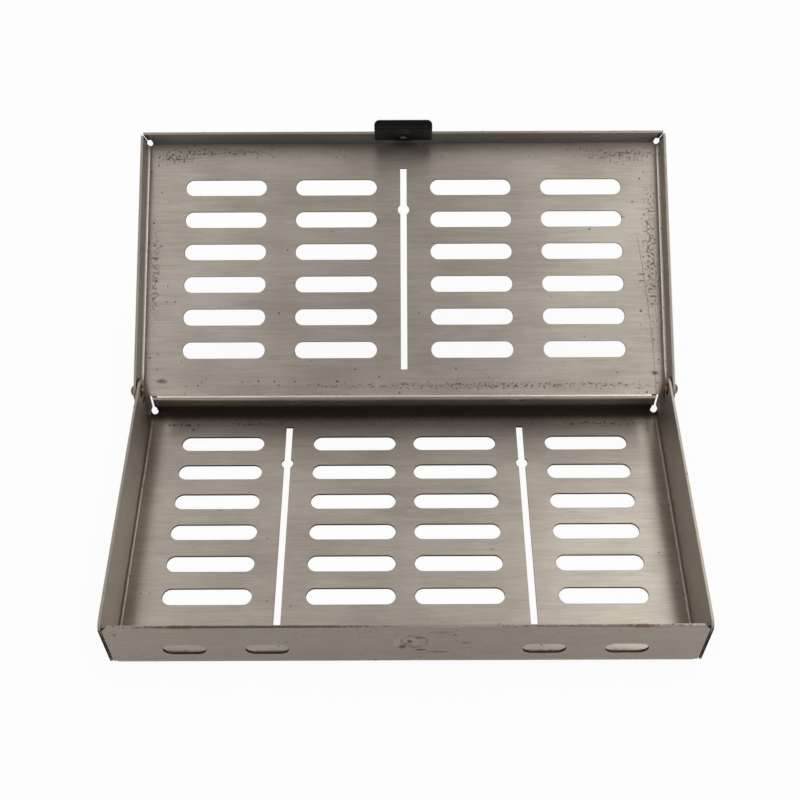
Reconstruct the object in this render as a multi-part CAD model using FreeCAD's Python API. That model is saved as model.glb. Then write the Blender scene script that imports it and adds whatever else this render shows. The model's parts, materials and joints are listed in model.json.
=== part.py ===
import FreeCAD, Part
import math
import os

# Sterilization container: a perforated sheet-steel tray with a perforated lid on two hinge rivets and
# a spring latch clip. Millimetres. X runs along the long side, +Y points to the hinge and +Z is up.
# Everything is drawn from the tray's front face. save() then moves it, so that the origin of the
# files is the middle of the tray's underside.

os.makedirs("parts", exist_ok=True)

# Sheet
SHEET = 0.8                 # thickness of tray and lid
BEND_IN = 1.0               # inner bend radius
BEND_OUT = BEND_IN + SHEET

# Tray
TRAY_WIDTH = 185.0
TRAY_HEIGHT = 25.0
CORNER_GAP = 0.3            # between the end of the front wall and a side wall
REAR_GAP = 0.9              # between the end of the back wall and a side wall
RELIEF_RADIUS = 1.2         # hole where two bends meet
FRONT_CHAMFER_ALONG = 1.8   # cut top corners of the front wall
FRONT_CHAMFER_DOWN = 2.0
SIDE_FRONT_ROUNDING = 3.0   # top front corner of a side wall

# Hinge
AXIS_FROM_FRONT = 90.0      # from the tray's front face
AXIS_BELOW_TOP = 4.1        # below the tray's rim, also the radius of the hinge lugs
AXIS_TO_BACK_WALL = 6.2     # from the axis to the inner face of the tray's back wall
OPEN_ANGLE = 148.0          # from closed to the stop
STOP_GAP = 0.1              # between the open lid and the top of the tray's back wall
SWING_CLEARANCE = 0.6       # round the corner of the turning lid

# Lid
LID_SIDE_GAP = 0.5          # between a lid flange and the tray's side wall
LID_FRONT_GAP = 1.2         # between the front flange and the tray's front wall
LID_TOP_GAP = 0.7           # between the closed lid and the tray's rim
LID_FLANGE = 8.6            # flange depth under the lid's inner face
LID_BACK_FLANGE = 8.3
LID_BEHIND_AXIS = 3.4       # from the axis to the outer face of the back flange
LID_BACK_HALF = 87.2        # half the length of the back flange
LID_SIDE_SHORT = 1.1        # the side flanges end this far behind the front flange's outer face
LID_FRONT_SHORT = 0.8       # the front flange ends this far inside the lid's sides
LID_RELIEF_RADIUS = 0.9
FLANGE_ROUNDING = 3.0       # rear corner of a side flange

# Punched slots
SLOT_LENGTH = 29.2
SLOT_WIDTH = 5.8
SLOT_PITCH = 11.8
SLOT_ROWS = 6
TRAY_COLUMNS = (17.75, 64.6)
TRAY_FIRST_ROW = 22.1       # from the tray's front face
LID_COLUMNS = (24.25, 64.1)
LID_FIRST_ROW = 14.5        # from the axis
FRONT_SLOT_LENGTH = 13.5
FRONT_SLOT_WIDTH = 6.5
FRONT_SLOT_CENTRES = (42.7, 68.2)
FRONT_SLOT_HEIGHT = 9.7

# Keyhole slits for a rack
SLIT_WIDTH = 2.3
SLIT_PAST_ROWS = 7.0        # the slit runs this far past the first and last row
SLIT_EXTRA_FRONT = 5.0      # and this much more to the front of the tray
KEYHOLE_RADIUS = 2.05
KEYHOLE_FROM_ROW = 8.2      # from the row nearest to the keyhole
TRAY_SLIT_X = 41.3

# Dimple for the latch
DIMPLE_RADIUS = 4.0
DIMPLE_DEPTH = 0.6
DIMPLE_HEIGHT = 14.0

# Hinge rivets and washers
SHANK_RADIUS = 1.0
SHANK_PLAY = 0.05           # radial play in the lid flange
HEAD_RADIUS = 1.9
HEAD_HEIGHT = 1.4
HEAD_PLAY = 0.2             # under the head, so that the lid turns freely
WASHER_RADIUS = 2.1
WASHER_THICKNESS = 0.4
TAIL_RADIUS = 1.65
TAIL_HEIGHT = 1.0

# Latch clip
CLIP_WIDTH = 20.4
CLIP_THICKNESS = 0.5
CLIP_TIP_GAP = 0.3          # between the detent and the tray's rim as the lid swings
CLIP_BUMP_RADIUS = 2.2
CLIP_LIP_REACH = 2.6        # how far the thumb lip stands out from the clip's straight part
CLIP_LIP_DROP = 1.5
CLIP_LIP_BEND = 1.6
CLIP_BELOW_BUMP = 2.9
CLIP_CORNER = 1.8
CLIP_TOP_BELOW_LID = 1.2
LATCH_RIVET_RADIUS = 0.9
LATCH_HEAD_RADIUS = 1.6
LATCH_HEAD_HEIGHT = 0.7
LATCH_TAIL_HEIGHT = 0.2
LATCH_RIVET_BELOW_LID = 4.6

# Derived
HALF = TRAY_WIDTH / 2
AXIS_HEIGHT = TRAY_HEIGHT - AXIS_BELOW_TOP
TRAY_DEPTH = AXIS_FROM_FRONT + AXIS_TO_BACK_WALL + SHEET
LID_INNER = TRAY_HEIGHT + LID_TOP_GAP
LID_OUTER = LID_INNER + SHEET
LID_HALF = HALF + LID_SIDE_GAP + SHEET
LID_FRONT = -LID_FRONT_GAP - SHEET
LID_BACK = AXIS_FROM_FRONT + LID_BEHIND_AXIS
AXIS_POINT = FreeCAD.Vector(0, AXIS_FROM_FRONT, AXIS_HEIGHT)
X_DIR = FreeCAD.Vector(1, 0, 0)
Y_DIR = FreeCAD.Vector(0, 1, 0)
Z_DIR = FreeCAD.Vector(0, 0, 1)
MANY = 3 * TRAY_WIDTH       # longer than anything here


def vec(x, y, z):
    return FreeCAD.Vector(x, y, z)


def save(shape, name):
    """Writes one node's solid, with the origin under the middle of the tray."""
    shape.translated(vec(0, -TRAY_DEPTH / 2, 0)).exportStep("parts/" + name + ".step")


def box(x0, x1, y0, y1, z0, z1):
    """Box between two corners."""
    return Part.makeBox(x1 - x0, y1 - y0, z1 - z0, vec(x0, y0, z0))


def side_box(side, inner, outer, y0, y1, z0, z1):
    """Box between two distances from the middle, on the left (-1) or right (1)."""
    x0, x1 = sorted((side * inner, side * outer))
    return box(x0, x1, y0, y1, z0, z1)


def prism(edges, direction):
    """Solid swept from a closed outline of edges."""
    return Part.Face(Part.Wire(edges)).extrude(direction)


def outline(points):
    """Straight edges round a list of points."""
    return [Part.LineSegment(a, b).toShape() for a, b in zip(points, points[1:] + points[:1])]


def fold(place, half, top, direction):
    """A quarter bend with the wall that stands on it, run half a length each way along direction.
    place turns the distance in from the wall's outer face and the height over the sheet's outer
    face into a point in the middle of the run."""
    side = math.sqrt(0.5)
    outer_mid = place(BEND_OUT * (1 - side), BEND_OUT * (1 - side))
    inner_mid = place(BEND_OUT - BEND_IN * side, BEND_OUT - BEND_IN * side)
    edges = [
        Part.Arc(place(BEND_OUT, 0), outer_mid, place(0, BEND_OUT)).toShape(),
        Part.LineSegment(place(0, BEND_OUT), place(0, top)).toShape(),
        Part.LineSegment(place(0, top), place(SHEET, top)).toShape(),
        Part.LineSegment(place(SHEET, top), place(SHEET, BEND_OUT)).toShape(),
        Part.Arc(place(SHEET, BEND_OUT), inner_mid, place(BEND_OUT, SHEET)).toShape(),
        Part.LineSegment(place(BEND_OUT, SHEET), place(BEND_OUT, 0)).toShape(),
    ]
    run = prism(edges, direction * (2 * half))
    run.translate(direction * -half)
    return run


def slot(length, width, depth):
    """Round-ended cutter along X, centred on the origin, from 0 down to -depth and up to +depth."""
    straight = (length - width) / 2
    r = width / 2
    edges = [
        Part.LineSegment(vec(-straight, -r, 0), vec(straight, -r, 0)).toShape(),
        Part.Arc(vec(straight, -r, 0), vec(straight + r, 0, 0), vec(straight, r, 0)).toShape(),
        Part.LineSegment(vec(straight, r, 0), vec(-straight, r, 0)).toShape(),
        Part.Arc(vec(-straight, r, 0), vec(-straight - r, 0, 0), vec(-straight, -r, 0)).toShape(),
    ]
    cutter = prism(edges, Z_DIR * 2 * depth)
    cutter.translate(vec(0, 0, -depth))
    return cutter


def slit(y0, y1, keyhole_y, depth):
    """Cutter for a slit along Y with a round keyhole."""
    bar = box(-SLIT_WIDTH / 2, SLIT_WIDTH / 2, y0, y1, -depth, depth)
    hole = Part.makeCylinder(KEYHOLE_RADIUS, 2 * depth, vec(0, keyhole_y, -depth))
    return bar.fuse(hole)


def at(shape, x, y, z):
    """A moved copy."""
    moved = shape.copy()
    moved.translate(vec(x, y, z))
    return moved


def opened(shape):
    """Turns a piece of the closed lid to where the lid stands open."""
    turned = shape.copy()
    turned.rotate(AXIS_POINT, X_DIR, -OPEN_ANGLE)
    return turned


def turned_profile(points, base, direction):
    """Solid of revolution about a line through base. points are (distance along, radius)."""
    flat = [vec(radius, 0, along) for along, radius in points]
    solid = Part.Face(Part.Wire(outline(flat))).revolve(vec(0, 0, 0), Z_DIR, 360)
    solid.Placement = FreeCAD.Placement(base, FreeCAD.Rotation(Z_DIR, direction))
    return solid


# Tray: floor, then four folded walls that leave the corners open

floor = box(-HALF + BEND_OUT, HALF - BEND_OUT, BEND_OUT, TRAY_DEPTH - BEND_OUT, 0, SHEET)

front_half = HALF - SHEET - CORNER_GAP
bend_half = HALF - BEND_OUT - RELIEF_RADIUS / 2
front_wall = fold(lambda s, h: vec(0, s, h), front_half, TRAY_HEIGHT, X_DIR)
for side in (-1, 1):
    top_corner = outline([
        vec(side * front_half, -1, TRAY_HEIGHT),
        vec(side * (front_half - FRONT_CHAMFER_ALONG), -1, TRAY_HEIGHT),
        vec(side * front_half, -1, TRAY_HEIGHT - FRONT_CHAMFER_DOWN),
    ])
    front_wall = front_wall.cut(prism(top_corner, Y_DIR * (2 + BEND_OUT)))
    front_wall = front_wall.cut(side_box(side, bend_half, HALF, -1, BEND_OUT + 1, -1, BEND_OUT))

# The open lid leans on the inner top edge of the back wall.
open_tilt = math.radians(180 - OPEN_ANGLE)
lid_outer_from_axis = AXIS_BELOW_TOP + LID_TOP_GAP + SHEET
leaning = lid_outer_from_axis + STOP_GAP - AXIS_TO_BACK_WALL * math.sin(open_tilt)
back_wall_top = AXIS_HEIGHT - leaning / math.cos(open_tilt)
back_half = HALF - SHEET - REAR_GAP
back_wall = fold(lambda s, h: vec(0, TRAY_DEPTH - s, h), back_half, back_wall_top, X_DIR)
for side in (-1, 1):
    corner = side_box(side, bend_half, HALF, TRAY_DEPTH - BEND_OUT - 1, TRAY_DEPTH + 1, -1, BEND_OUT)
    back_wall = back_wall.cut(corner)

# A side wall ends in a round lug for the hinge rivet. Behind and below the lug it is cut away
# where the corner of the lid swings through.
swing_radius = math.hypot(lid_outer_from_axis, LID_BEHIND_AXIS - BEND_OUT) + SWING_CLEARANCE
notch_bottom = AXIS_HEIGHT - swing_radius
notch_front = AXIS_FROM_FRONT - AXIS_BELOW_TOP / 2
lug = Part.makeCylinder(AXIS_BELOW_TOP, MANY, vec(-MANY / 2, AXIS_FROM_FRONT, AXIS_HEIGHT), X_DIR)
lug_window = box(-MANY / 2, MANY / 2, notch_front, TRAY_DEPTH + 1, notch_bottom, TRAY_HEIGHT + 1)
corner_rounding = [e for e in lug_window.Edges if abs(e.CenterOfMass.y - notch_front) < 0.01
                   and abs(e.CenterOfMass.z - notch_bottom) < 0.01]
lug_window = lug_window.makeFillet(BEND_IN, corner_rounding)
lug_keep = lug.fuse(box(-MANY / 2, MANY / 2, 0, AXIS_FROM_FRONT, AXIS_HEIGHT, TRAY_HEIGHT + 1))
side_cut = lug_window.cut(lug_keep)

side_walls = []
relief_reach = BEND_OUT + RELIEF_RADIUS / 2
for side in (-1, 1):
    wall = fold(lambda s, h: vec(side * (HALF - s), TRAY_DEPTH / 2, h), TRAY_DEPTH / 2, TRAY_HEIGHT, Y_DIR)
    wall = wall.cut(side_cut)
    for y0, y1 in ((-1, relief_reach), (TRAY_DEPTH - relief_reach, TRAY_DEPTH + 1)):
        wall = wall.cut(side_box(side, HALF - BEND_OUT - 1, HALF + 1, y0, y1, -1, BEND_OUT))
    top_front = [e for e in wall.Edges if abs(e.CenterOfMass.y) < 0.01
                 and abs(e.CenterOfMass.z - TRAY_HEIGHT) < 0.01]
    wall = wall.makeFillet(SIDE_FRONT_ROUNDING, top_front)
    hole_start = vec(side * HALF - 2 * SHEET, AXIS_FROM_FRONT, AXIS_HEIGHT)
    side_walls.append(wall.cut(Part.makeCylinder(SHANK_RADIUS, 4 * SHEET, hole_start, X_DIR)))

# The dimple is pressed in from outside, so the sheet bulges inwards behind it.
ball = (DIMPLE_RADIUS ** 2 + DIMPLE_DEPTH ** 2) / (2 * DIMPLE_DEPTH)
ball_centre = vec(0, DIMPLE_DEPTH - ball, DIMPLE_HEIGHT)
behind = box(-HALF, HALF, SHEET / 2, BEND_OUT * 2, 0, TRAY_HEIGHT)
bulge = Part.makeSphere(ball + SHEET, ball_centre).common(behind)

tray = floor.fuse([front_wall, back_wall, bulge] + side_walls)
tray = tray.cut(Part.makeSphere(ball, ball_centre))

cuts = []
tray_rows = [TRAY_FIRST_ROW + i * SLOT_PITCH for i in range(SLOT_ROWS)]
for x in TRAY_COLUMNS:
    for side in (-1, 1):
        for y in tray_rows:
            cuts.append(at(slot(SLOT_LENGTH, SLOT_WIDTH, 2 * SHEET), side * x, y, 0))
slit_front = tray_rows[0] - SLIT_PAST_ROWS - SLIT_EXTRA_FRONT
slit_back = tray_rows[-1] + SLIT_PAST_ROWS
for side in (-1, 1):
    keyhole = tray_rows[-1] - KEYHOLE_FROM_ROW
    cuts.append(at(slit(slit_front, slit_back, keyhole, 2 * SHEET), side * TRAY_SLIT_X, 0, 0))
for x in FRONT_SLOT_CENTRES:
    for side in (-1, 1):
        window = slot(FRONT_SLOT_LENGTH, FRONT_SLOT_WIDTH, 2 * SHEET)
        window.rotate(vec(0, 0, 0), X_DIR, 90)
        cuts.append(at(window, side * x, 0, FRONT_SLOT_HEIGHT))
for side in (-1, 1):
    for y in (BEND_OUT, TRAY_DEPTH - BEND_OUT):
        relief = vec(side * (HALF - BEND_OUT), y, -BEND_OUT / 2)
        cuts.append(Part.makeCylinder(RELIEF_RADIUS, 2 * BEND_OUT, relief))
tray = tray.cut(cuts).removeSplitter()
save(tray, "tray_shell")

# Lid, modelled closed and then turned open

panel_half = LID_HALF - BEND_OUT
panel = box(-panel_half, panel_half, LID_FRONT + BEND_OUT, LID_BACK - BEND_OUT, LID_INNER, LID_OUTER)

lid_front_half = LID_HALF - LID_FRONT_SHORT
lid_bend_half = LID_HALF - BEND_OUT - LID_RELIEF_RADIUS / 2
flange_top = LID_FLANGE + SHEET
bend_low = LID_OUTER - BEND_OUT
front_flange = fold(lambda s, h: vec(0, LID_FRONT + s, LID_OUTER - h), lid_front_half, flange_top, X_DIR)
for side in (-1, 1):
    corner = side_box(side, lid_bend_half, LID_HALF + 1, LID_FRONT - 1, 1, bend_low, LID_OUTER + 1)
    front_flange = front_flange.cut(corner)

back_top = LID_BACK_FLANGE + SHEET
back_flange = fold(lambda s, h: vec(0, LID_BACK - s, LID_OUTER - h), LID_BACK_HALF, back_top, X_DIR)

side_flanges = []
flange_start = LID_FRONT + LID_SIDE_SHORT
middle = (flange_start + LID_BACK) / 2
bend_start = LID_FRONT + BEND_OUT + LID_RELIEF_RADIUS / 2
for side in (-1, 1):
    flange = fold(lambda s, h: vec(side * (LID_HALF - s), middle, LID_OUTER - h),
                  LID_BACK - middle, flange_top, Y_DIR)
    for y0, y1 in ((LID_FRONT - 1, bend_start), (LID_BACK - BEND_OUT, LID_BACK + 1)):
        flange = flange.cut(side_box(side, panel_half - 1, LID_HALF + 1, y0, y1, bend_low, LID_OUTER + 1))
    rear = [e for e in flange.Edges if abs(e.CenterOfMass.y - LID_BACK) < 0.01
            and abs(e.CenterOfMass.z - (LID_OUTER - flange_top)) < 0.01]
    flange = flange.makeFillet(FLANGE_ROUNDING, rear)
    hole_start = vec(side * LID_HALF - 2 * SHEET, AXIS_FROM_FRONT, AXIS_HEIGHT)
    hole = Part.makeCylinder(SHANK_RADIUS + SHANK_PLAY, 4 * SHEET, hole_start, X_DIR)
    side_flanges.append(flange.cut(hole))

lid = panel.fuse([front_flange, back_flange] + side_flanges)
cuts = []
lid_rows = [AXIS_FROM_FRONT - LID_FIRST_ROW - i * SLOT_PITCH for i in range(SLOT_ROWS)]
for x in LID_COLUMNS:
    for side in (-1, 1):
        for y in lid_rows:
            cuts.append(at(slot(SLOT_LENGTH, SLOT_WIDTH, 2 * SHEET), side * x, y, LID_INNER))
lid_keyhole = lid_rows[-1] + KEYHOLE_FROM_ROW
lid_slit = slit(lid_rows[-1] - SLIT_PAST_ROWS, lid_rows[0] + SLIT_PAST_ROWS, lid_keyhole, 2 * SHEET)
cuts.append(at(lid_slit, 0, 0, LID_INNER))
for side in (-1, 1):
    relief = vec(side * (LID_HALF - BEND_OUT), LID_FRONT + BEND_OUT, LID_OUTER - BEND_OUT - 1)
    cuts.append(Part.makeCylinder(LID_RELIEF_RADIUS, 2 * BEND_OUT + 1, relief))
latch_hole_z = LID_INNER - LATCH_RIVET_BELOW_LID
latch_hole = Part.makeCylinder(LATCH_RIVET_RADIUS, 4 * SHEET, vec(0, LID_FRONT - SHEET, latch_hole_z), Y_DIR)
cuts.append(latch_hole)
lid = lid.cut(cuts).removeSplitter()
save(opened(lid), "lid_shell")

# Hinge rivets: domed head outside, shank through lid flange and tray wall, tail over a washer inside

for side, name in ((-1, "left"), (1, "right")):
    inwards = vec(-side, 0, 0)
    under_head = vec(side * (LID_HALF + HEAD_PLAY), AXIS_FROM_FRONT, AXIS_HEIGHT)
    grip = LID_HALF + HEAD_PLAY - HALF + SHEET + WASHER_THICKNESS
    rivet = turned_profile([
        (-HEAD_HEIGHT, 0),
        (-HEAD_HEIGHT, 0.6 * HEAD_RADIUS),
        (-0.6 * HEAD_HEIGHT, 0.92 * HEAD_RADIUS),
        (0, HEAD_RADIUS),
        (0, SHANK_RADIUS),
        (grip, SHANK_RADIUS),
        (grip, TAIL_RADIUS),
        (grip + 0.65 * TAIL_HEIGHT, 0.85 * TAIL_RADIUS),
        (grip + TAIL_HEIGHT, 0.45 * TAIL_RADIUS),
        (grip + TAIL_HEIGHT, 0),
    ], under_head, inwards)
    save(rivet, "hinge_rivet_" + name)

    washer_at = vec(side * (HALF - SHEET), AXIS_FROM_FRONT, AXIS_HEIGHT)
    washer = Part.makeCylinder(WASHER_RADIUS, WASHER_THICKNESS, washer_at, inwards)
    washer = washer.cut(Part.makeCylinder(SHANK_RADIUS, WASHER_THICKNESS, washer_at, inwards))
    save(washer, "hinge_washer_" + name)

# Latch clip: a strip of spring steel inside the front flange, with a detent that sits over the
# tray's dimple and a lip that flares outwards for the thumb

clip_back = -LID_FRONT_GAP
clip_front = clip_back + CLIP_THICKNESS
clip_top = LID_INNER - CLIP_TOP_BELOW_LID
rim_reach = math.hypot(AXIS_FROM_FRONT, AXIS_BELOW_TOP) + CLIP_TIP_GAP
bump_tip = AXIS_FROM_FRONT - math.sqrt(rim_reach ** 2 - (AXIS_HEIGHT - DIMPLE_HEIGHT) ** 2)
lip_start = DIMPLE_HEIGHT - CLIP_BELOW_BUMP
lip_angle = math.atan2(CLIP_LIP_REACH, CLIP_LIP_DROP)


def strip(offset):
    """Points down one face of the clip, offset from its flange side towards the tray."""
    r = CLIP_LIP_BEND + offset
    centre_y = clip_back - CLIP_LIP_BEND
    mid = lip_angle / 2
    bend_mid = vec(0, centre_y + r * math.cos(mid), lip_start - r * math.sin(mid))
    bend_end = vec(0, centre_y + r * math.cos(lip_angle), lip_start - r * math.sin(lip_angle))
    out = vec(0, -math.sin(lip_angle), -math.cos(lip_angle))
    length = (CLIP_LIP_REACH - CLIP_LIP_BEND * (1 - math.cos(lip_angle))) / math.sin(lip_angle)
    top = vec(0, clip_back + offset, clip_top)
    bend_start = vec(0, clip_back + offset, lip_start)
    return top, bend_start, bend_mid, bend_end, bend_end + out * length


near = strip(0)
far = strip(CLIP_THICKNESS)
clip_edges = [
    Part.LineSegment(near[0], near[1]).toShape(),
    Part.Arc(near[1], near[2], near[3]).toShape(),
    Part.LineSegment(near[3], near[4]).toShape(),
    Part.LineSegment(near[4], far[4]).toShape(),
    Part.LineSegment(far[4], far[3]).toShape(),
    Part.Arc(far[3], far[2], far[1]).toShape(),
    Part.LineSegment(far[1], far[0]).toShape(),
    Part.LineSegment(far[0], near[0]).toShape(),
]
clip = prism(clip_edges, X_DIR * CLIP_WIDTH)
clip.translate(vec(-CLIP_WIDTH / 2, 0, 0))
lip_end = (near[4] + far[4]) * 0.5
ends = [lip_end + X_DIR * side * CLIP_WIDTH / 2 for side in (-1, 1)]
lip_corners = [e for e in clip.Edges for end in ends if e.CenterOfMass.distanceToPoint(end) < 0.01]
clip = clip.makeFillet(CLIP_CORNER, lip_corners)
bump_depth = bump_tip - clip_front
bump_ball = (CLIP_BUMP_RADIUS ** 2 + bump_depth ** 2) / (2 * bump_depth)
bump_centre = vec(0, bump_tip - bump_ball, DIMPLE_HEIGHT)
bump = Part.makeSphere(bump_ball, bump_centre).common(box(-HALF, HALF, clip_back, 1, 0, TRAY_HEIGHT))
clip = clip.fuse(bump)
pressed = bump_ball - CLIP_THICKNESS
clip = clip.cut(Part.makeSphere(pressed, bump_centre))
clip = clip.cut(latch_hole)
save(opened(clip.removeSplitter()), "latch_clip")

latch_grip = SHEET + CLIP_THICKNESS
latch_rivet = turned_profile([
    (-LATCH_HEAD_HEIGHT, 0),
    (-LATCH_HEAD_HEIGHT, 0.7 * LATCH_HEAD_RADIUS),
    (0, LATCH_HEAD_RADIUS),
    (0, LATCH_RIVET_RADIUS),
    (latch_grip, LATCH_RIVET_RADIUS),
    (latch_grip, 1.4 * LATCH_RIVET_RADIUS),
    (latch_grip + LATCH_TAIL_HEIGHT, 1.1 * LATCH_RIVET_RADIUS),
    (latch_grip + LATCH_TAIL_HEIGHT, 0),
], vec(0, LID_FRONT, latch_hole_z), Y_DIR)
save(opened(latch_rivet), "latch_rivet")
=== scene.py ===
import json
import math

import bmesh
import bpy
from mathutils import Matrix, Vector


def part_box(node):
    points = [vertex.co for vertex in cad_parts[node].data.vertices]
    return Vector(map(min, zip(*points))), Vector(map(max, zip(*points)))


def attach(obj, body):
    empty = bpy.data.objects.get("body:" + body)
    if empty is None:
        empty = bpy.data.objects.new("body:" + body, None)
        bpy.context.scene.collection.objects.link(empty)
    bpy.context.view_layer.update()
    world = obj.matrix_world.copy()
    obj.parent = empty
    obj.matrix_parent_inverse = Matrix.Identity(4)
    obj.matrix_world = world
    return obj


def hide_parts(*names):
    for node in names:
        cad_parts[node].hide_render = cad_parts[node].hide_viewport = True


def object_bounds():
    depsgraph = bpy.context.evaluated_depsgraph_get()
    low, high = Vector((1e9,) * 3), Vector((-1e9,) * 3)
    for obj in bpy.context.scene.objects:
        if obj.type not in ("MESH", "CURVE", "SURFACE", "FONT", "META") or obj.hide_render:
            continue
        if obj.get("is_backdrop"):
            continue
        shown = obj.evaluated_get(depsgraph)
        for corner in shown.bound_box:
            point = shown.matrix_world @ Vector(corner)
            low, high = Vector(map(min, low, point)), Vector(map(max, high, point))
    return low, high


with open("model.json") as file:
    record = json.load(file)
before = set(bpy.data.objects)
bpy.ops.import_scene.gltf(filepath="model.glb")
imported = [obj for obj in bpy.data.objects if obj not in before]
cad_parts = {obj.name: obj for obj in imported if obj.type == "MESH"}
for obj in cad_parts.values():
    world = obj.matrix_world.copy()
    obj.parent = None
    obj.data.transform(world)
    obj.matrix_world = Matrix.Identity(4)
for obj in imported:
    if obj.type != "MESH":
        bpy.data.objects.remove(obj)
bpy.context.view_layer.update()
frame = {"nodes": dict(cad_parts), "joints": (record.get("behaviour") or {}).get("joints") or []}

# Tray: a shallow box folded from one sheet of 0.8 mm stainless steel, punched with slots and two
# keyhole slits. The sheet was brushed along its long side before it was folded, so the grain runs
# up the side walls. Years of use have left pits, brown stains and worn edges. Its colour also holds
# painted shade: browner walls, black hollow bends, dark bands in the rear bend and behind the front
# wall, and dark front corners. Its outer edges are lightened partly by wear and partly as painted
# highlight.
SHEET = 0.0008
BEND = 0.0018
EDGE_ZONE = (0.016, 0.001)
BEND_LEVELS = (0.0018, 0.0013)
WALL_START = 0.0016
WALL_FULL = 0.0024
CUT_SLOPE = (0.8, 0.5)
WHOLE_WIDTH = 0.8
SOFT_EDGE = 0.00015
TRAY_STEEL_DARK = (0.430, 0.378, 0.326)
TRAY_STEEL_LIGHT = (0.590, 0.530, 0.462)
# The next colour lightens worn edges and paints a highlight on the bends
WORN_EDGE_AND_HIGHLIGHT = (0.95, 0.91, 0.84)
# The next colour darkens cut faces and burrs: partly the steel's own dark cut edges, partly painted
# shade
CUT_STEEL = (0.070, 0.054, 0.040)
# The next colour darkens stains, pits and scratches, and also paints shade into hollow corners and bends
GRIME_AND_SHADE = (0.014, 0.010, 0.007)
RUST = (0.20, 0.10, 0.042)
# The next colour browns the folded walls: painted shade with tarnished streaks
WALL_SHADE_AND_TARNISH = (0.10, 0.073, 0.048)
TONE_SHARES = (("Cloud", 0.48), ("Coarse", 0.20), ("Fine", 0.32))
BURR, PIT_DARK, SCRATCH_DARK = 0.55, 0.75, 0.5
SMOOTH, GRAIN_ROUGH, RUBBED_LESS, DULL_MORE = 0.34, 0.10, 0.12, 0.3


def feed(tree, socket, value):
    """Links a socket to another one, or sets its value."""
    if isinstance(value, bpy.types.NodeSocket):
        tree.links.new(value, socket)
    else:
        socket.default_value = value


def calc(tree, operation, *values):
    """A math node. Returns its result."""
    node = tree.nodes.new("ShaderNodeMath")
    node.operation = operation
    for socket, value in zip(node.inputs, values):
        feed(tree, socket, value)
    return node.outputs[0]


def step(tree, value, start, end):
    """0 before start, 1 after end, smooth between them. start may lie above end."""
    node = tree.nodes.new("ShaderNodeMapRange")
    node.interpolation_type = "SMOOTHSTEP"
    feed(tree, node.inputs["Value"], value)
    feed(tree, node.inputs["From Min"], start)
    feed(tree, node.inputs["From Max"], end)
    return node.outputs["Result"]


def stretch(tree, vector, x, y, z):
    """The vector with each coordinate multiplied."""
    node = tree.nodes.new("ShaderNodeVectorMath")
    node.operation = "MULTIPLY"
    feed(tree, node.inputs[0], vector)
    node.inputs[1].default_value = (x, y, z)
    return node.outputs["Vector"]


def split(tree, vector):
    """The vector's three coordinates."""
    node = tree.nodes.new("ShaderNodeSeparateXYZ")
    feed(tree, node.inputs[0], vector)
    return node.outputs


def noise(tree, vector, scale, detail=2.0, roughness=0.5):
    """Cloudy noise between 0 and 1."""
    node = tree.nodes.new("ShaderNodeTexNoise")
    node.inputs["Scale"].default_value = scale
    node.inputs["Detail"].default_value = detail
    node.inputs["Roughness"].default_value = roughness
    feed(tree, node.inputs["Vector"], vector)
    return node.outputs["Fac"]


def mix(tree, factor, first, second):
    """Colour between first and second."""
    node = tree.nodes.new("ShaderNodeMix")
    node.data_type = "RGBA"
    feed(tree, node.inputs["Factor"], factor)
    for socket, value in ((node.inputs["A"], first), (node.inputs["B"], second)):
        feed(tree, socket, value if isinstance(value, bpy.types.NodeSocket) else (*value, 1.0))
    return node.outputs["Result"]


def new_group(name, inputs, outputs):
    """An empty node group with named sockets."""
    group = bpy.data.node_groups.new(name, "ShaderNodeTree")
    for label, kind, value in inputs:
        socket = group.interface.new_socket(name=label, in_out="INPUT", socket_type=kind)
        if value is not None:
            socket.default_value = value
    for label in outputs:
        group.interface.new_socket(name=label, in_out="OUTPUT", socket_type="NodeSocketFloat")
    return group, group.nodes.new("NodeGroupInput"), group.nodes.new("NodeGroupOutput")


def use_group(tree, group, **values):
    """Places a group in a material and sets or links its inputs. Underscores stand for spaces."""
    node = tree.nodes.new("ShaderNodeGroup")
    node.node_tree = group
    for label, value in values.items():
        feed(tree, node.inputs[label.replace("_", " ")], value)
    return node.outputs


def new_material(name):
    """A material with nodes. Returns it with its tree and its Principled shader."""
    material = bpy.data.materials.new(name)
    material.use_nodes = True
    return material, material.node_tree, material.node_tree.nodes["Principled BSDF"]


def add_bump(tree, shader, height, strength, depth, soft_edge=True):
    """Bump from a height, over edges that look slightly rounded."""
    bump = tree.nodes.new("ShaderNodeBump")
    bump.inputs["Strength"].default_value = strength
    bump.inputs["Distance"].default_value = depth
    feed(tree, bump.inputs["Height"], height)
    if soft_edge:
        rounded = tree.nodes.new("ShaderNodeBevel")
        rounded.samples = 4
        rounded.inputs["Radius"].default_value = SOFT_EDGE
        feed(tree, bump.inputs["Normal"], rounded.outputs["Normal"])
    feed(tree, shader.inputs["Normal"], bump.outputs["Normal"])


def dress(piece, material):
    """Gives a piece its one material."""
    piece.data.materials.clear()
    piece.data.materials.append(material)


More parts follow.
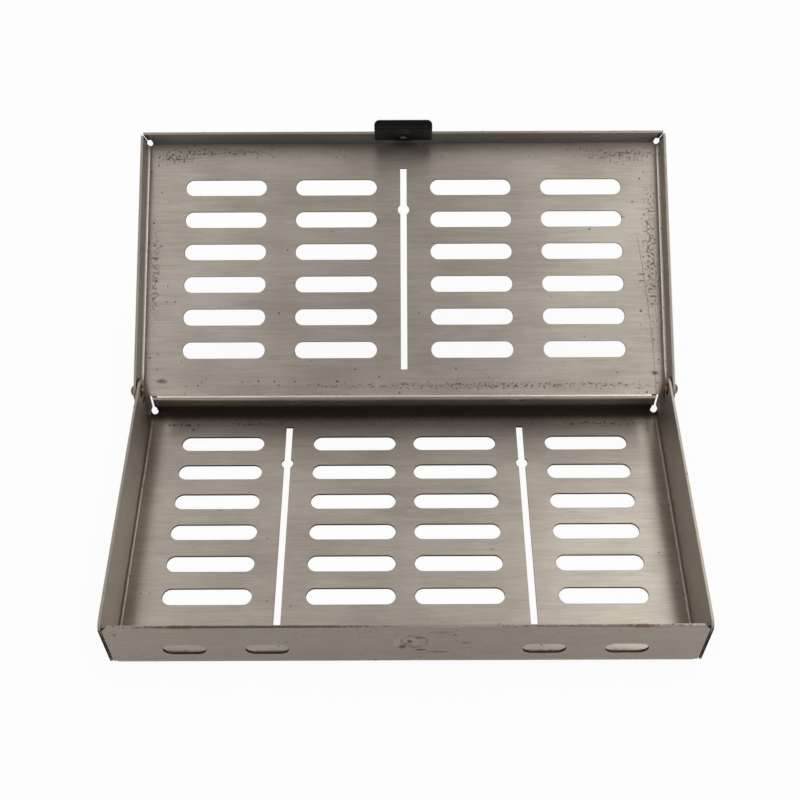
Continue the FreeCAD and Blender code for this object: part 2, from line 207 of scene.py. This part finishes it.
# Brushed grain along X, which turns to run along Z on faces that look sideways
grain_group, given, result = new_group(
    "brushed grain",
    [("Vector", "NodeSocketVector", None), ("Normal", "NodeSocketVector", None)],
    ["Fine", "Coarse", "Cloud"],
)
place = split(grain_group, given.outputs["Vector"])
facing = split(grain_group, given.outputs["Normal"])
sideways = step(grain_group, calc(grain_group, "ABSOLUTE", facing["X"]), 0.6, 0.8)
upright = calc(grain_group, "SUBTRACT", 1.0, sideways)
brush = grain_group.nodes.new("ShaderNodeCombineXYZ")
for socket, first, second in ((brush.inputs["X"], "X", "Z"), (brush.inputs["Z"], "Z", "X")):
    lying = calc(grain_group, "MULTIPLY", place[first], upright)
    standing = calc(grain_group, "MULTIPLY", place[second], sideways)
    feed(grain_group, socket, calc(grain_group, "ADD", lying, standing))
feed(grain_group, brush.inputs["Y"], place["Y"])
fine = noise(grain_group, stretch(grain_group, brush.outputs[0], 130, 2600, 2600), 1.0, 3.0, 0.6)
coarse = noise(grain_group, stretch(grain_group, brush.outputs[0], 45, 640, 640), 1.0, 2.0, 0.5)
cloud = noise(grain_group, stretch(grain_group, brush.outputs[0], 26, 40, 40), 1.0, 5.0, 0.6)
for label, value in (("Fine", fine), ("Coarse", coarse), ("Cloud", cloud)):
    feed(grain_group, result.inputs[label], value)

# Edges, from how far a rounded normal turns away from the face, and hollow corners, from ambient
# occlusion
edge_group, given, result = new_group(
    "edges and hollows",
    [("Width", "NodeSocketFloat", 0.0003), ("Reach", "NodeSocketFloat", 0.003)],
    ["Edge", "Corner"],
)
rounded = edge_group.nodes.new("ShaderNodeBevel")
rounded.samples = 4
feed(edge_group, rounded.inputs["Radius"], given.outputs["Width"])
geometry = edge_group.nodes.new("ShaderNodeNewGeometry")
turned = edge_group.nodes.new("ShaderNodeVectorMath")
turned.operation = "DOT_PRODUCT"
feed(edge_group, turned.inputs[0], rounded.outputs["Normal"])
feed(edge_group, turned.inputs[1], geometry.outputs["Normal"])
feed(edge_group, result.inputs["Edge"], step(edge_group, turned.outputs["Value"], 0.995, 0.85))
shade = edge_group.nodes.new("ShaderNodeAmbientOcclusion")
shade.samples = 8
feed(edge_group, shade.inputs["Distance"], given.outputs["Reach"])
feed(edge_group, result.inputs["Corner"], step(edge_group, shade.outputs["AO"], 0.80, 0.52))

# Scattered dark pits
pit_group, given, result = new_group(
    "pits",
    [
        ("Vector", "NodeSocketVector", None),
        ("Scale", "NodeSocketFloat", 700.0),
        ("Size", "NodeSocketFloat", 0.25),
        ("Share", "NodeSocketFloat", 0.1),
    ],
    ["Mask"],
)
cells = pit_group.nodes.new("ShaderNodeTexVoronoi")
ragged = pit_group.nodes.new("ShaderNodeTexNoise")
ragged.inputs["Scale"].default_value = 2500
shifted = pit_group.nodes.new("ShaderNodeVectorMath")
shifted.operation = "MULTIPLY_ADD"
feed(pit_group, ragged.inputs["Vector"], given.outputs["Vector"])
feed(pit_group, shifted.inputs[0], ragged.outputs["Color"])
shifted.inputs[1].default_value = (0.0006, 0.0003, 0.0003)
feed(pit_group, shifted.inputs[2], given.outputs["Vector"])
feed(pit_group, cells.inputs["Vector"], shifted.outputs[0])
feed(pit_group, cells.inputs["Scale"], given.outputs["Scale"])
chance = pit_group.nodes.new("ShaderNodeSeparateColor")
feed(pit_group, chance.inputs[0], cells.outputs["Color"])
chosen = calc(pit_group, "LESS_THAN", chance.outputs[0], given.outputs["Share"])
radius = calc(pit_group, "MULTIPLY", given.outputs["Size"], chance.outputs[1])
inner = calc(pit_group, "MULTIPLY", radius, 0.3)
dot = step(pit_group, cells.outputs["Distance"], radius, inner)
feed(pit_group, result.inputs["Mask"], calc(pit_group, "MULTIPLY", chosen, dot))

# One blotch with a ragged outline
spot_group, given, result = new_group(
    "spot",
    [
        ("Vector", "NodeSocketVector", None),
        ("Centre", "NodeSocketVector", (0, 0, 0)),
        ("Radii", "NodeSocketVector", (0.001, 0.001, 0.001)),
        ("Ragged", "NodeSocketFloat", 0.5),
    ],
    ["Mask"],
)
away = spot_group.nodes.new("ShaderNodeVectorMath")
away.operation = "SUBTRACT"
feed(spot_group, away.inputs[0], given.outputs["Vector"])
feed(spot_group, away.inputs[1], given.outputs["Centre"])
scaled = spot_group.nodes.new("ShaderNodeVectorMath")
scaled.operation = "DIVIDE"
feed(spot_group, scaled.inputs[0], away.outputs[0])
feed(spot_group, scaled.inputs[1], given.outputs["Radii"])
length = spot_group.nodes.new("ShaderNodeVectorMath")
length.operation = "LENGTH"
feed(spot_group, length.inputs[0], scaled.outputs[0])
uneven = calc(spot_group, "SUBTRACT", noise(spot_group, given.outputs["Vector"], 1100, 3.0), 0.5)
uneven = calc(spot_group, "MULTIPLY", uneven, calc(spot_group, "MULTIPLY", given.outputs["Ragged"], 2.0))
distance = calc(spot_group, "ADD", length.outputs["Value"], uneven)
feed(spot_group, result.inputs["Mask"], step(spot_group, distance, 1.0, 0.35))


def steel(
    name, dark, light, turn, panel, tarnish_and_shade, bend_highlight, bend_shade, stains_and_shade, rust, pits,
    scratches=(), rings=(), slotted_wall=None,
):
    """Brushed steel. turn is the angle about X that lays the sheet flat, and panel the lowest and
    highest corner of its punched part there. tarnish_and_shade tells how much the folded walls are
    darkened and browned, as painted shade with tarnished streaks. bend_highlight tells how bright
    a highlight is painted on the bends, and bend_shade how black a painted shade is laid in their
    hollow side. stains_and_shade and rust list (centre, radii, strength, raggedness), pits (scale,
    size, share, share near the edges), scratches (centre, radii and half length, half thickness)
    and rings (centre, radius, half thickness). slotted_wall is (highest y, lowest z, highest z).
    Lengths are in metres."""
    material, tree, shader = new_material(name)
    coordinates = tree.nodes.new("ShaderNodeTexCoord")
    flat = tree.nodes.new("ShaderNodeMapping")
    flat.inputs["Rotation"].default_value = (turn, 0, 0)
    feed(tree, flat.inputs["Vector"], coordinates.outputs["Object"])
    flat_normal = tree.nodes.new("ShaderNodeMapping")
    flat_normal.vector_type = "NORMAL"
    flat_normal.inputs["Rotation"].default_value = (turn, 0, 0)
    feed(tree, flat_normal.inputs["Vector"], coordinates.outputs["Normal"])
    vector = flat.outputs["Vector"]
    grain = use_group(tree, grain_group, Vector=vector, Normal=flat_normal.outputs["Vector"])
    worn = use_group(tree, edge_group, Width=0.00035, Reach=0.004)

    # inside is 1 on the punched panel, and rim rises from 0 in its middle to 1 near its edges
    place = split(tree, vector)
    facing = split(tree, flat_normal.outputs["Vector"])
    inside, rim = 1.0, 0.0
    for axis in (0, 1):
        middle = (panel[0][axis] + panel[1][axis]) / 2
        half = (panel[1][axis] - panel[0][axis]) / 2
        out = calc(tree, "ABSOLUTE", calc(tree, "SUBTRACT", place[axis], middle))
        inside = calc(tree, "MULTIPLY", inside, calc(tree, "LESS_THAN", out, half))
        near_edge = step(tree, out, half - EDGE_ZONE[0], half - EDGE_ZONE[1])
        rim = calc(tree, "MAXIMUM", rim, near_edge)
    middle = (panel[0][2] + panel[1][2]) / 2
    level = calc(tree, "ABSOLUTE", calc(tree, "SUBTRACT", place["Z"], middle))
    outside = calc(tree, "SUBTRACT", 1.0, inside)
    bend = calc(tree, "MULTIPLY", outside, step(tree, level, *BEND_LEVELS))
    inside = calc(tree, "MULTIPLY", inside, calc(tree, "LESS_THAN", level, 0.75 * SHEET))
    upward = calc(tree, "ABSOLUTE", facing["Z"])
    cut = calc(tree, "MULTIPLY", inside, step(tree, upward, *CUT_SLOPE))
    if slotted_wall:
        wall = calc(tree, "LESS_THAN", place["Y"], slotted_wall[0])
        wall = calc(tree, "MULTIPLY", wall, calc(tree, "GREATER_THAN", place["Z"], slotted_wall[1]))
        wall = calc(tree, "MULTIPLY", wall, calc(tree, "LESS_THAN", place["Z"], slotted_wall[2]))
        sloping = step(tree, calc(tree, "ABSOLUTE", facing["Y"]), *CUT_SLOPE)
        cut = calc(tree, "MAXIMUM", cut, calc(tree, "MULTIPLY", wall, sloping))

    tone = 0.0
    for label, share in TONE_SHARES:
        tone = calc(tree, "ADD", tone, calc(tree, "MULTIPLY", grain[label], share))
    colour = mix(tree, step(tree, tone, 0.36, 0.64), dark, light)
    streaks = calc(tree, "ADD", grain["Cloud"], calc(tree, "MULTIPLY", grain["Coarse"], 0.5))
    streaks = calc(tree, "MULTIPLY", step(tree, streaks, 0.6, 0.9), 0.6)
    # The folded walls are painted darker and browner: painted shade, with tarnished streaks
    wall_shade_and_tarnish = calc(tree, "MULTIPLY", step(tree, level, WALL_START, WALL_FULL), tarnish_and_shade)
    wall_shade_and_tarnish = calc(tree, "MULTIPLY", wall_shade_and_tarnish, calc(tree, "ADD", 0.6, streaks))
    colour = mix(tree, wall_shade_and_tarnish, colour, WALL_SHADE_AND_TARNISH)
    # Outer edges are lightened, partly as wear and partly as painted highlight, and the bends get a
    # painted highlight
    outer_edge = calc(tree, "MULTIPLY", worn["Edge"], calc(tree, "SUBTRACT", 1.0, inside))
    rubbed_and_painted_highlight = calc(tree, "MULTIPLY", bend, bend_highlight)
    edge_wear_and_highlight = calc(tree, "MULTIPLY", outer_edge, 0.3 + 0.4 * bend_highlight)
    wear_and_painted_highlight = calc(tree, "MAXIMUM", edge_wear_and_highlight, rubbed_and_painted_highlight)
    colour = mix(tree, wear_and_painted_highlight, colour, WORN_EDGE_AND_HIGHLIGHT)
    burr = calc(tree, "MULTIPLY", calc(tree, "MULTIPLY", worn["Edge"], inside), BURR)
    # Cut faces and burrs go dark brown: the burrs are the steel's own, and the cut faces' darkness is
    # partly oxide, partly painted shade
    colour = mix(tree, calc(tree, "MAXIMUM", cut, burr), colour, CUT_STEEL)

    # Patches darkened where ambient occlusion finds a hollow corner, and painted shade laid black in the
    # hollow side of the bends
    dirt_and_shade = calc(tree, "MULTIPLY", worn["Corner"], step(tree, grain["Cloud"], 0.25, 0.5))
    hollow = calc(tree, "MULTIPLY", step(tree, worn["Corner"], 0.05, 0.35), bend_shade)
    hollow = calc(tree, "MULTIPLY", hollow, step(tree, level, WALL_FULL, WALL_START))
    dirt_and_shade = calc(tree, "MAXIMUM", dirt_and_shade, hollow)
    dirt_and_shade = calc(tree, "MULTIPLY", dirt_and_shade, calc(tree, "SUBTRACT", 1.0, inside))
    for centre, radii, strength, ragged in stains_and_shade:
        spot = use_group(tree, spot_group, Vector=vector, Centre=centre, Radii=radii, Ragged=ragged)
        dirt_and_shade = calc(tree, "MAXIMUM", dirt_and_shade, calc(tree, "MULTIPLY", spot["Mask"], strength))
    for scale, size, share, edge_share in pits:
        more = calc(tree, "MULTIPLY", calc(tree, "POWER", rim, 2.0), edge_share)
        share = calc(tree, "ADD", share, more)
        pit = use_group(tree, pit_group, Vector=vector, Scale=scale, Size=size, Share=share)
        dirt_and_shade = calc(tree, "MAXIMUM", dirt_and_shade, calc(tree, "MULTIPLY", pit["Mask"], PIT_DARK))
    scratched = 0.0
    for centre, radii, half in scratches:
        away = tree.nodes.new("ShaderNodeVectorMath")
        away.operation = "SUBTRACT"
        feed(tree, away.inputs[0], vector)
        away.inputs[1].default_value = centre
        offset = split(tree, away.outputs[0])
        round_x = calc(tree, "POWER", calc(tree, "DIVIDE", offset["X"], radii[0]), 2.0)
        round_y = calc(tree, "POWER", calc(tree, "DIVIDE", offset["Y"], radii[1]), 2.0)
        line = calc(tree, "SQRT", calc(tree, "ADD", round_x, round_y))
        line = calc(tree, "ABSOLUTE", calc(tree, "SUBTRACT", line, 1.0))
        line = step(tree, line, half / radii[0], 0.2 * half / radii[0])
        line = calc(tree, "MULTIPLY", line, calc(tree, "GREATER_THAN", offset["X"], 0.0))
        along_y = calc(tree, "ABSOLUTE", offset["Y"])
        line = calc(tree, "MULTIPLY", line, calc(tree, "LESS_THAN", along_y, radii[2]))
        scratched = calc(tree, "MAXIMUM", scratched, calc(tree, "MULTIPLY", line, inside))
    for centre, radius, half in rings:
        away = tree.nodes.new("ShaderNodeVectorMath")
        away.operation = "DISTANCE"
        feed(tree, away.inputs[0], vector)
        away.inputs[1].default_value = centre
        wobble = calc(tree, "MULTIPLY", calc(tree, "SUBTRACT", grain["Coarse"], 0.5), 4 * half)
        line = calc(tree, "ADD", calc(tree, "SUBTRACT", away.outputs["Value"], radius), wobble)
        line = step(tree, calc(tree, "ABSOLUTE", line), half, 0.3 * half)
        line = calc(tree, "MULTIPLY", line, step(tree, grain["Fine"], 0.42, 0.58))
        scratched = calc(tree, "MAXIMUM", scratched, line)
    dirt_and_shade = calc(tree, "MAXIMUM", dirt_and_shade, calc(tree, "MULTIPLY", scratched, SCRATCH_DARK))
    colour = mix(tree, dirt_and_shade, colour, GRIME_AND_SHADE)
    corroded = 0.0
    for centre, radii, strength, ragged in rust:
        spot = use_group(tree, spot_group, Vector=vector, Centre=centre, Radii=radii, Ragged=ragged)
        corroded = calc(tree, "MAXIMUM", corroded, calc(tree, "MULTIPLY", spot["Mask"], strength))
    colour = mix(tree, corroded, colour, RUST)
    feed(tree, shader.inputs["Base Color"], colour)

    dull = calc(tree, "MAXIMUM", dirt_and_shade, calc(tree, "MAXIMUM", corroded, cut))
    metallic = calc(tree, "SUBTRACT", 1.0, calc(tree, "MULTIPLY", dull, 0.2))
    feed(tree, shader.inputs["Metallic"], metallic)
    rough = calc(tree, "ADD", SMOOTH, calc(tree, "MULTIPLY", grain["Fine"], GRAIN_ROUGH))
    rough = calc(tree, "SUBTRACT", rough, calc(tree, "MULTIPLY", rubbed_and_painted_highlight, RUBBED_LESS))
    rough = calc(tree, "ADD", rough, calc(tree, "MULTIPLY", dull, DULL_MORE))
    feed(tree, shader.inputs["Roughness"], rough)
    shader.inputs["Anisotropic"].default_value = 1.0
    shader.inputs["Anisotropic Rotation"].default_value = 0.25
    along = tree.nodes.new("ShaderNodeCombineXYZ")
    along.inputs["X"].default_value = 1.0
    along.inputs["Z"].default_value = 0.001
    feed(tree, shader.inputs["Tangent"], along.outputs[0])

    height = calc(tree, "ADD", grain["Fine"], calc(tree, "MULTIPLY", grain["Coarse"], 0.4))
    height = calc(tree, "SUBTRACT", height, calc(tree, "MULTIPLY", dirt_and_shade, 0.8))
    add_bump(tree, shader, height, 0.30, 0.00003)
    return material


tray = frame["nodes"]["tray_shell"]
tray_low, tray_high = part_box("tray_shell")
front, rim_height = tray_low.y, tray_high.z
tray_steel = steel(
    "brushed tray steel",
    TRAY_STEEL_DARK,
    TRAY_STEEL_LIGHT,
    0.0,
    panel=((tray_low.x + BEND, front + BEND, 0.0), (tray_high.x - BEND, tray_high.y - BEND, SHEET)),
    # Walls browned as painted shade with tarnished streaks, black painted shade in the bends' hollow
    # side, and no highlight painted on the bends
    tarnish_and_shade=0.34,
    bend_highlight=0.0,
    bend_shade=1.0,
    stains_and_shade=[
        # Painted shade in the rear bend, with broken rows of pits in front of it
        ((0.0, tray_high.y - BEND, SHEET), (WHOLE_WIDTH, 0.0056, 0.0034), 0.80, 0.15),
        ((-0.0800, 0.0408, 0.0018), (0.0110, 0.0009, 0.0013), 0.8, 1.5),
        ((-0.0530, 0.0410, 0.0018), (0.0150, 0.0009, 0.0013), 0.8, 1.5),
        ((0.0700, 0.0408, 0.0018), (0.0200, 0.0014, 0.0013), 0.7, 1.5),
        # Painted shade behind the front wall, seen dark through its slots, and the dark line of its worn
        # rim
        ((0.0, front + 0.0020, 0.0016), (WHOLE_WIDTH, 0.0024, 0.0018), 0.97, 0.2),
        ((-0.0470, front + 0.0002, rim_height), (0.0520, 0.0007, 0.0006), 0.6, 0.5),
        ((0.0600, front + 0.0002, rim_height), (0.0420, 0.0006, 0.0006), 0.4, 0.8),
        # Smears round the ring on the front wall
        ((0.0042, front, 0.0092), (0.0026, 0.0020, 0.0009), 0.6, 0.8),
        ((0.0102, front, 0.0077), (0.0050, 0.0020, 0.0005), 0.6, 0.5),
        ((0.0180, front, 0.0140), (0.0020, 0.0020, 0.0005), 0.5, 0.5),
        ((0.0108, front, 0.0214), (0.0042, 0.0020, 0.0005), 0.35, 0.5),
        ((-0.0010, front, 0.0110), (0.0016, 0.0020, 0.0012), 0.5, 0.6),
        ((0.0038, front, 0.0175), (0.0020, 0.0020, 0.0007), 0.4, 0.8),
        # Painted shade on the side walls' front ends, in the two front corners
        ((tray_low.x, front, 0.0125), (0.0013, 0.0007, 0.0200), 1.0, 0.3),
        ((tray_high.x, front, 0.0125), (0.0013, 0.0007, 0.0200), 1.0, 0.3),
    ],
    rust=[
        ((0.0011, front, 0.0140), (0.0012, 0.0020, 0.0011), 0.9, 0.9),
        ((-0.0675, front, rim_height), (0.0060, 0.0014, 0.0010), 0.6, 0.9),
        ((0.0705, front, rim_height), (0.0050, 0.0014, 0.0012), 0.6, 0.9),
    ],
    pits=[(650, 0.34, 0.012, 0.25), (330, 0.26, 0.0, 0.20)],
    rings=[((0.0026, front, 0.0150), 0.0040, 0.0004)],
    slotted_wall=(front + SHEET + 0.0002, BEND, rim_height - 0.001),
)
dress(tray, tray_steel)

# Hinge rivets: solid rivets of bronze-tinted steel, one on each side. A domed head lies outside the
# lid's flange, and the shank ends inside the tray in a hammered tail.
RIVET_METAL = (0.24, 0.155, 0.092)
SHANK_RADIUS = 0.001
HEAD_HEIGHT = 0.0014
TAIL_HEIGHT = 0.0010
TAIL_RADIUS = 0.00165
DOME_STEPS = 8
FULLNESS = 0.8


def turned_piece(name, outline, centre, towards):
    """A lathe-turned piece. outline lists (distance along, radius) from one pole to the other."""
    mesh = bpy.data.meshes.new(name)
    piece = bpy.data.objects.new(name, mesh)
    bpy.context.scene.collection.objects.link(piece)
    form = bmesh.new()
    points = [form.verts.new((radius, 0, distance)) for distance, radius in outline]
    edges = [form.edges.new(pair) for pair in zip(points, points[1:])]
    bmesh.ops.spin(
        form, geom=points + edges, cent=(0, 0, 0), axis=(0, 0, 1), angle=2 * math.pi, steps=48,
        use_merge=True,
    )
    bmesh.ops.remove_doubles(form, verts=form.verts, dist=1e-7)
    turn = Vector((0, 0, 1)).rotation_difference(Vector(towards)).to_matrix().to_4x4()
    bmesh.ops.transform(form, matrix=Matrix.Translation(centre) @ turn, verts=form.verts)
    bmesh.ops.recalc_face_normals(form, faces=form.faces)
    form.to_mesh(mesh)
    form.free()
    for face in mesh.polygons:
        face.use_smooth = True
    mesh.set_sharp_from_angle(angle=math.radians(40))
    return piece


def rivet_finish(name, colour, tarnish_and_shade):
    """Dull turned metal, tarnished dark in its hollows."""
    material, tree, shader = new_material(name)
    vector = tree.nodes.new("ShaderNodeTexCoord").outputs["Object"]
    worn = use_group(tree, edge_group, Width=0.0002, Reach=0.0015)
    patches = noise(tree, vector, 900, 4.0, 0.6)
    dark = calc(tree, "MAXIMUM", worn["Corner"], step(tree, patches, 0.5, 0.7))
    dark = calc(tree, "MULTIPLY", dark, tarnish_and_shade)
    rough = calc(tree, "ADD", 0.25, calc(tree, "MULTIPLY", patches, 0.25))
    feed(tree, shader.inputs["Base Color"], mix(tree, dark, colour, GRIME_AND_SHADE))
    feed(tree, shader.inputs["Roughness"], rough)
    shader.inputs["Metallic"].default_value = 1.0
    add_bump(tree, shader, noise(tree, vector, 2500, 2.0), 0.4, 0.00008, soft_edge=False)
    return material


rivet_metal = rivet_finish("bronze-tinted rivet metal", RIVET_METAL, 0.8)
quarter = [math.radians(90 * i / DOME_STEPS) for i in range(DOME_STEPS + 1)]
for side, name in ((-1, "left"), (1, "right")):
    low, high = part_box("hinge_rivet_" + name)
    head_radius = (high.z - low.z) / 2
    length = high.x - low.x
    dome = [
        (HEAD_HEIGHT * (1 - math.cos(a)), head_radius * math.sin(a) ** FULLNESS) for a in quarter
    ]
    tail = [
        (length - TAIL_HEIGHT * (1 - math.cos(a)), TAIL_RADIUS * math.sin(a) ** FULLNESS)
        for a in reversed(quarter)
    ]
    outer = low.x if side < 0 else high.x
    head_centre = (outer, (low.y + high.y) / 2, (low.z + high.z) / 2)
    shank = [(HEAD_HEIGHT, SHANK_RADIUS), (length - TAIL_HEIGHT, SHANK_RADIUS)]
    outline = dome + shank + tail
    rivet = turned_piece("rivet_" + name, outline, head_centre, (-side, 0, 0))
    rivet.data.materials.append(rivet_metal)
    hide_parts("hinge_rivet_" + name)
    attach(rivet, "tray")

# Hinge washers: thin rings punched from sheet, with the same bronze tint as the rivets. They lie
# inside the tray's walls, held by the hammered tails.
for name in ("left", "right"):
    dress(frame["nodes"]["hinge_washer_" + name], rivet_metal)

# Lid: folded and punched from the same sheet as the tray, with its own wear. Pits and small stains
# lie along its edges, and a long curved scratch runs down its right side.
LID_STEEL_DARK = (0.420, 0.370, 0.320)
LID_STEEL_LIGHT = (0.570, 0.512, 0.450)
lid = frame["nodes"]["lid_shell"]
hinge = frame["joints"][0]
flat_turn = math.radians(hinge["range_deg"][1]) - math.pi
lay_flat = Matrix.Rotation(flat_turn, 4, "X")
corners = [lay_flat @ vertex.co for vertex in lid.data.vertices]
lid_low = Vector([min(corner[i] for corner in corners) for i in range(3)])
lid_high = Vector([max(corner[i] for corner in corners) for i in range(3)])
hollow_side = lid_low.z + 2 * SHEET
lid_steel = steel(
    "brushed lid steel",
    LID_STEEL_DARK,
    LID_STEEL_LIGHT,
    flat_turn,
    panel=(
        (lid_low.x + BEND, lid_low.y + BEND, lid_low.z),
        (lid_high.x - BEND, lid_high.y - BEND, lid_low.z + SHEET),
    ),
    # Walls browned as painted shade with tarnished streaks, a highlight painted on the bends, and
    # painted shade in their hollow side
    tarnish_and_shade=0.42,
    bend_highlight=0.8,
    bend_shade=0.5,
    stains_and_shade=[
        # Single stains on the panel
        ((0.0852, 0.0876, lid_low.z), (0.0022, 0.0005, 0.002), 0.5, 0.6),
        ((0.0853, 0.0852, lid_low.z), (0.0020, 0.0004, 0.002), 0.5, 0.6),
        ((0.0790, 0.1085, lid_low.z), (0.0014, 0.0005, 0.002), 0.5, 0.6),
        ((-0.0858, 0.0500, lid_low.z), (0.0030, 0.0012, 0.002), 0.5, 0.8),
        # Broken rows of pits along the bends
        ((-0.0660, 0.1329, hollow_side), (0.0280, 0.0018, 0.001), 0.6, 1.5),
        ((-0.0820, 0.1310, hollow_side), (0.0110, 0.0030, 0.001), 0.6, 1.5),
        ((0.0780, 0.1316, hollow_side), (0.0200, 0.0036, 0.001), 0.5, 1.5),
        ((-0.0890, 0.0880, hollow_side), (0.0020, 0.0240, 0.001), 0.5, 1.5),
        ((0.0885, 0.0950, hollow_side), (0.0034, 0.0360, 0.001), 0.5, 1.5),
        ((0.0300, 0.0480, hollow_side), (0.0900, 0.0016, 0.001), 0.6, 1.5),
        # Painted shade in the front bend, and the clip strip's painted shadow and reflection on the
        # panel
        ((0.0, lid_high.y - 0.0012, lid_low.z + 0.0012), (WHOLE_WIDTH, 0.0014, 0.0014), 0.7, 0.2),
        ((0.0, 0.1366, lid_low.z + 0.0019), (0.0124, 0.0044, 0.002), 1.0, 0.0),
    ],
    rust=[
        ((0.0884, 0.0522, lid_low.z), (0.0016, 0.0010, 0.002), 0.7, 0.8),
        ((0.0846, 0.0744, lid_low.z), (0.0010, 0.0008, 0.002), 0.6, 0.8),
    ],
    pits=[(700, 0.36, 0.020, 0.30), (380, 0.26, 0.0, 0.20)],
    scratches=[((-0.0100, 0.0350, 0.0), (0.0990, 0.2100, 0.0660), 0.00012)],
)
dress(lid, lid_steel)

# Latch clip: a strip of spring steel with a black gloss coating, riveted inside the lid's front
# flange. Its lip stands out for the thumb.
COATING = (0.004, 0.004, 0.004)
BARE = (0.24, 0.23, 0.22)
coating, tree, shader = new_material("gloss black coating")
vector = tree.nodes.new("ShaderNodeTexCoord").outputs["Object"]
worn = use_group(tree, edge_group, Width=0.0002, Reach=0.002)
rubbed_and_painted_highlight = calc(tree, "MULTIPLY", worn["Edge"], step(tree, noise(tree, vector, 1500, 3.0), 0.4, 0.6))
bare = calc(tree, "MULTIPLY", rubbed_and_painted_highlight, 0.6)
rough = calc(tree, "ADD", 0.20, calc(tree, "MULTIPLY", noise(tree, vector, 400, 4.0), 0.2))
feed(tree, shader.inputs["Base Color"], mix(tree, bare, COATING, BARE))
feed(tree, shader.inputs["Roughness"], rough)
shader.inputs["Specular IOR Level"].default_value = 0.25
add_bump(tree, shader, noise(tree, vector, 1800, 2.0), 0.25, 0.00005)
dress(frame["nodes"]["latch_clip"], coating)

# Latch rivet: a small solid rivet of plain steel that holds the clip. Its head lies outside the
# lid's front flange, and its tail is hammered over the strip.
CLIP_RIVET_STEEL = (0.34, 0.30, 0.27)
dress(frame["nodes"]["latch_rivet"], rivet_finish("plain rivet steel", CLIP_RIVET_STEEL, 0.5))

# Studio: a white floor under a surround without lamps. Overhead it has a bright strip on the left
# and one on the right, and it is darker in front, in the middle and at the far sides. Each row of
# SURROUND gives left, middle and right, in front, overhead and behind. The camera stands in front
# and above, and its lens is shifted because the photograph was cropped off its optical centre.
FLOOR_PAINT = (0.9, 0.9, 0.9)
FLOOR_SHARE = 0.93
FLOOR_SHINE = 0.42
SURROUND = ((0.40, 0.15, 0.60), (2.5, 1.65, 2.75), (0.3, 0.50, 1.5))
FAR_SIDES = 0.60
STRIP_LIMITS = (0.08, 0.18)
FAR_LIMITS = (0.40, 0.60)
FRONT_LIMITS = (-0.20, -0.40)
BACK_LIMITS = (0.10, 0.35)


def seen_directly(tree, path):
    """1 for the camera's rays, also behind clear material, and 0 for the rest."""
    return calc(
        tree, "MAXIMUM", path.outputs["Is Camera Ray"], path.outputs["Is Transmission Ray"]
    )


floor_mesh = bpy.data.meshes.new("floor")
floor = bpy.data.objects.new("floor", floor_mesh)
bpy.context.scene.collection.objects.link(floor)
form = bmesh.new()
bmesh.ops.create_grid(form, x_segments=1, y_segments=1, size=4.0)
bmesh.ops.translate(form, verts=form.verts, vec=(0, 0, -0.0002))
form.to_mesh(floor_mesh)
form.free()
floor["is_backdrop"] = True
paper = bpy.data.materials.new("white floor")
paper.use_nodes = True
tree = paper.node_tree
tree.nodes.clear()
lit = tree.nodes.new("ShaderNodeBsdfDiffuse")
lit.inputs["Color"].default_value = (*FLOOR_PAINT, 1.0)
white = tree.nodes.new("ShaderNodeEmission")
path = tree.nodes.new("ShaderNodeLightPath")
plain_white = calc(tree, "MULTIPLY", seen_directly(tree, path), FLOOR_SHARE)
mirrored = calc(tree, "MULTIPLY", path.outputs["Is Glossy Ray"], FLOOR_SHINE)
blend = tree.nodes.new("ShaderNodeMixShader")
feed(tree, blend.inputs[0], calc(tree, "MAXIMUM", plain_white, mirrored))
feed(tree, blend.inputs[1], lit.outputs[0])
feed(tree, blend.inputs[2], white.outputs[0])
feed(tree, tree.nodes.new("ShaderNodeOutputMaterial").inputs["Surface"], blend.outputs[0])
floor_mesh.materials.append(paper)

world = bpy.data.worlds.new("pale surround")
world.use_nodes = True
tree = world.node_tree
heading = split(tree, tree.nodes.new("ShaderNodeTexCoord").outputs["Generated"])
leftward = step(tree, heading["X"], -STRIP_LIMITS[0], -STRIP_LIMITS[1])
rightward = step(tree, heading["X"], *STRIP_LIMITS)
rows = []
for on_left, in_middle, on_right in SURROUND:
    row = calc(tree, "ADD", in_middle, calc(tree, "MULTIPLY", leftward, on_left - in_middle))
    rows.append(calc(tree, "ADD", row, calc(tree, "MULTIPLY", rightward, on_right - in_middle)))
in_front, overhead, behind = rows
surround = overhead
for limits, row in ((FRONT_LIMITS, in_front), (BACK_LIMITS, behind)):
    change = calc(tree, "SUBTRACT", row, overhead)
    change = calc(tree, "MULTIPLY", step(tree, heading["Y"], *limits), change)
    surround = calc(tree, "ADD", surround, change)
for side in (-1, 1):
    far = step(tree, heading["X"], side * FAR_LIMITS[0], side * FAR_LIMITS[1])
    change = calc(tree, "MULTIPLY", far, calc(tree, "SUBTRACT", FAR_SIDES, surround))
    surround = calc(tree, "ADD", surround, change)
seen = seen_directly(tree, tree.nodes.new("ShaderNodeLightPath"))
unseen = calc(tree, "SUBTRACT", 1.0, seen)
level = calc(tree, "ADD", seen, calc(tree, "MULTIPLY", unseen, surround))
feed(tree, tree.nodes["Background"].inputs["Strength"], level)
tree.nodes["Background"].inputs["Color"].default_value = (1, 1, 1, 1)
bpy.context.scene.world = world

lens = bpy.data.cameras.new("camera")
lens.lens = 55.375
lens.shift_y = -0.15
camera = bpy.data.objects.new("camera", lens)
bpy.context.scene.collection.objects.link(camera)
camera.location = (-0.001154, -0.210576, 0.370890)
camera.rotation_euler = [math.radians(a) for a in (40.861, 0.170, -0.154)]
bpy.context.scene.camera = camera
bpy.context.scene.view_settings.view_transform = "Standard"

low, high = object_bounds()
